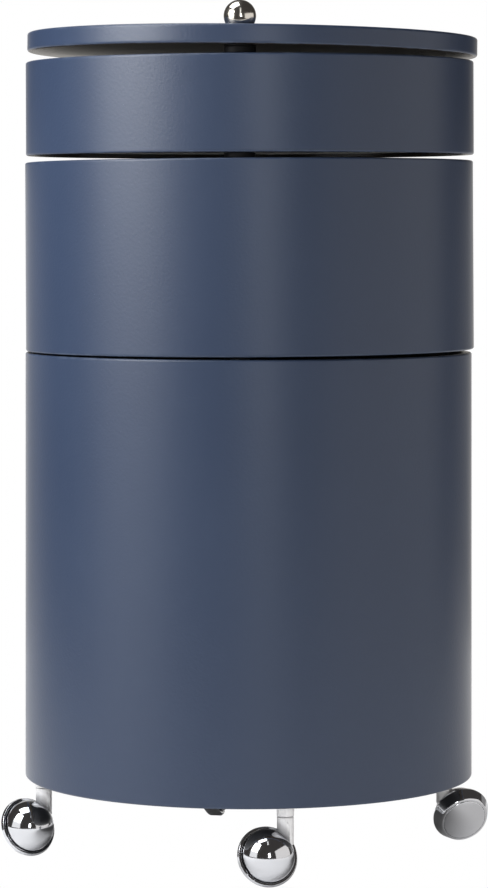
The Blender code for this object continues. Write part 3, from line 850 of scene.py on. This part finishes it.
def castorHood(side, swivel, axle):
    # a bright dome with its satin stem, which is cut clear of the wheel's sweep and the dome's hollow
    edge = wheel["lipDepth"] + wheel["gap"]
    clear = wheel["radius"] + wheel["gap"]
    stemLow = hubHeight + stem["dip"]
    outer = domeLine(hood["radius"], hood["height"], edge, 1)
    inner = domeLine(hood["radius"] - hood["shell"], hood["height"] - hood["shell"], edge, 1)
    dome = turned(side + "Dome", outer[::-1] + inner, chrome, axle, wheel["segments"], closed=False)
    rod = turned(side + "Stem", eased([
        (0, stemLow, 0),
        (stem["radius"], stemLow, 0),
        (stem["radius"], stemTop, stem["ease"]),
        (0, stemTop, 0),
    ]), chrome, swivel, segments=64, closed=False)
    sweep = turned("sweep", [
        (0, -hood["radius"]),
        (clear, -hood["radius"]),
        (clear, edge),
        (0, edge),
    ], chrome, axle, wheel["segments"], closed=False)
    hollow = turned("hollow", inner + [(0, edge)], chrome, axle, wheel["segments"], closed=False)
    pit = swivel @ Matrix.Translation((0, stem["radius"], stemTop - stem["dimpleDrop"]))
    dimpleLine = arcLine(stem["dimple"], 0, -90, 90, steps=10)
    dimple = turned("dimple", dimpleLine, chrome, pit, segments=16, closed=False)
    shaft = without(rod, [sweep, hollow, dimple])
    markSatin(dome, 0.0)
    markSatin(shaft, 1.0)
    return bundled(side + "_castor_hood_plated", [dome, shaft])


def castorWheel(side, axle):
    lip = wheel["radius"] - wheel["lipInset"]
    lipIn = lip - wheel["lipWall"]
    backIn = backRadius - wheel["wall"]
    back = -treadDrop - wheel["shoulder"]
    backEdge = backRadius - wheel["shoulder"] * math.tan(castor["slope"])  # the tread's cone, carried on
    band = turned(side + "_castor_tread_plated", eased([
        (lipIn, 0, 0),
        (backIn, -treadDrop, 0),
        (backIn, back, 0),
        (backEdge, back, wheel["backEase"]),
        (wheel["radius"], 0, wheel["edgeEase"]),
        (lip, wheel["lipDepth"], wheel["lipEase"]),
        (lipIn, wheel["lipDepth"], wheel["lipInEase"]),
    ], support=0.2), chrome, axle, wheel["segments"])
    coreTop = wheel["lipDepth"] - wheel["coreRecess"]
    core = turned(side + "_castor_core_moulded", [
        (wheel["coreBore"], coreTop),
        (lipIn - seat, coreTop),
        (lipIn - 2 * seat, 0),
        (backIn - 2 * seat, -treadDrop),
        (wheel["coreBore"], -treadDrop),
    ], plastic, axle)
    capRadius = backIn - 0.1 * seat
    capBase = -treadDrop - seat
    outer = domeLine(capRadius, wheel["capHeight"] - wheel["shoulder"], back, -1)  # flush with the tread
    inner = domeLine(capRadius - hood["shell"], wheel["capHeight"] - hood["shell"], capBase, -1)
    bowl = outer[::-1] + [(capRadius, capBase)] + inner
    cap = turned(side + "_castor_cap_plated", bowl, chrome, axle, wheel["segments"], closed=False)
    settle(band, side + "_wheel", "chrome", side + "_castor_tread")
    settle(core, side + "_wheel", "black_plastic", side + "_castor_core")
    settle(cap, side + "_wheel", "chrome", side + "_castor_cap")


for quarter, (side, (inset, heading)) in enumerate(castor["sides"].items()):
    bearing = math.radians(90 * quarter - 90 + castor["turn"])
    towards = Vector((math.cos(bearing), math.sin(bearing), 0))
    spot = Matrix.Translation(towards * (castor["circle"] - inset))
    swivel = spot @ Matrix.Rotation(math.radians(heading), 4, "Z")
    hub = Matrix.Translation((castor["trail"], castor["sideStep"], hubHeight))
    axle = swivel @ hub @ Matrix.Rotation(castor["slope"] - math.pi / 2, 4, "X")
    settle(castorHood(side, swivel, axle), side + "_castor", "chrome", side + "_castor_hood")
    castorWheel(side, axle)
    socket = turned(side + "_castor_socket_plated", eased([
        (ferrule["bore"], ferruleLow, ferrule["boreEase"]),
        (ferrule["radius"], ferruleLow, ferrule["ease"]),
        (ferrule["radius"], ferruleTop, ferrule["ease"]),
        (ferrule["bore"], ferruleTop, ferrule["boreEase"]),
    ], steps=4), chrome, spot, segments=64)
    markSatin(socket, 1.0)
    settle(socket, "base", "chrome", side + "_castor_socket")
    for part in ("pin", "axle"):  # hidden inside: the CAD solids stay, in satin steel
        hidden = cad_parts[f"{side}_castor_{part}"]
        hidden.data.materials.clear()
        hidden.data.materials.append(steel)
print("castors: made")

# camera: level, as far off as the photograph's perspective shows, framed by its shift (in pixels)
camera = {
    "place": (0, -2.957, 0.5275), "lens": 140.42, "sensor": 36.0, "far": 50,
    "shift": (-4.6, -215.44), "pictureHeight": 888,
}
eye = bpy.data.cameras.new("camera")
eye.lens = camera["lens"]
eye.sensor_width = camera["sensor"]
eye.shift_x, eye.shift_y = [pixels / camera["pictureHeight"] for pixels in camera["shift"]]
eye.clip_end = camera["far"]
tripod = linked("camera", eye)
tripod.location = camera["place"]
tripod.rotation_euler = (math.pi / 2, 0, 0)
scene.camera = tripod

# studio: pale floor that glows, with a painted pool of light at the right and a painted shadow under the
# cabinet; dim warm room with a white backdrop; soft boxes
plain = (1.0, 1.0, 1.0)
black = (0.0, 0.0, 0.0)
studio = {
    "floor": (0.74, 0.74, 0.74), "floorGlow": 0.37, "floorSize": 2.6, "shadowEdge": (0.15, 0.22),
    "spill": (1.42, 1.39, 1.36), "spillEdge": (0.10, 0.24),
    "room": (0.057, 0.052, 0.049), "backdrop": (0.60, 0.58, 0.55), "backdropEdge": (0.86, 0.99),
}
softBoxes = {
    "keyHigh": {"place": (-0.95, -0.60, 1.05), "aim": (0, 0, 0.75), "size": (0.70, 0.55), "power": 15.0},
    "keyLow": {"place": (-0.95, -0.60, 0.62), "aim": (0, 0, 0.55), "size": (0.70, 0.35), "power": 2.6},
    "keyFoot": {"place": (-0.95, -0.60, 0.25), "aim": (0, 0, 0.30), "size": (0.70, 0.40), "power": 1.0},
    "overhead": {"place": (-0.60, -0.10, 1.90), "aim": (0, 0, 0.50), "size": (1.00, 1.00), "power": 19.0},
    "strip": {"place": (0.40, -3.30, 0.80), "aim": (0, 0, 0.50), "size": (0.40, 1.00), "power": 12.5},
    "nearStrip": {
        "place": (0.027, -0.55, 0.94), "aim": (0, -0.16, 0.70), "size": (0.04, 0.36), "power": 0.1,
    },
    "fill": {
        "place": (1.75, -0.60, 0.60), "aim": (0, 0, 0.40), "size": (2.90, 1.20), "power": 10.0,
        "tint": (1.0, 0.97, 0.94),
    },
    "backLeft": {"place": (-0.75, 0.95, 0.30), "aim": (0, 0, 0.30), "size": (0.90, 0.60), "power": 0.7},
    "backRight": {"place": (0.75, 0.95, 0.30), "aim": (0, 0, 0.30), "size": (0.90, 0.60), "power": 0.4},
}

for name, box in softBoxes.items():
    lamp = bpy.data.lights.new(name, "AREA")
    lamp.shape = "RECTANGLE"
    lamp.size, lamp.size_y = box["size"]
    lamp.energy = box["power"]
    lamp.color = box.get("tint", plain)
    stand = linked(name, lamp)
    stand.location = box["place"]
    stand.rotation_euler = (Vector(box["aim"]) - stand.location).to_track_quat("-Z", "Y").to_euler()

half = studio["floorSize"] / 2
sheet = bpy.data.meshes.new("studioFloor")
corners = [(-half, -half, 0), (half, -half, 0), (half, half, 0), (-half, half, 0)]
sheet.from_pydata(corners, [], [(0, 1, 2, 3)])
ground = linked("studioFloor", sheet)
paper = Finish("studioPaper")
shade = paper.node("ShaderNodeBsdfDiffuse", {}, {"Color": studio["floor"]})["BSDF"]
away = paper.node("ShaderNodeVectorMath", {"operation": "LENGTH"}, {0: paper.where})["Value"]
# painted shadow: the floor's glow fades out under the cabinet
clear = paper.faded(away, *studio["shadowEdge"])
# painted light: the floor's glow is raised into a brighter pool at the right
spill = paper.faded(paper.along("X", paper.where), *studio["spillEdge"])
# the glow's colour, carrying its painted shadow and its painted pool of light
paintedGlow = paper.mixed(clear, black, paper.mixed(spill, plain, studio["spill"]))
glowing = {"Color": paintedGlow, "Strength": studio["floorGlow"]}
glow = paper.node("ShaderNodeEmission", {}, glowing)["Emission"]
lit = paper.node("ShaderNodeAddShader", {}, {0: shade, 1: glow})["Shader"]
white = paper.node("ShaderNodeEmission", {}, {"Color": plain})["Emission"]
blended = paper.node("ShaderNodeMixShader", {}, {0: paper.cameraRay(), 1: lit, 2: white})["Shader"]
paper.fill(paper.tree.nodes["Material Output"], {"Surface": blended})
sheet.materials.append(paper.material)

world = bpy.data.worlds.new("studio")
scene.world = world
world.use_nodes = True
room = Look(world.node_tree)
ray = room.node("ShaderNodeTexCoord")["Generated"]
behind = room.faded(room.along("Y", ray), *studio["backdropEdge"])
surround = room.mixed(behind, studio["room"], studio["backdrop"])
sky = room.mixed(room.cameraRay(), surround, plain)
room.fill(world.node_tree.nodes["Background"], {"Color": sky})
scene.view_settings.view_transform = "Standard"
print("studio: lit")
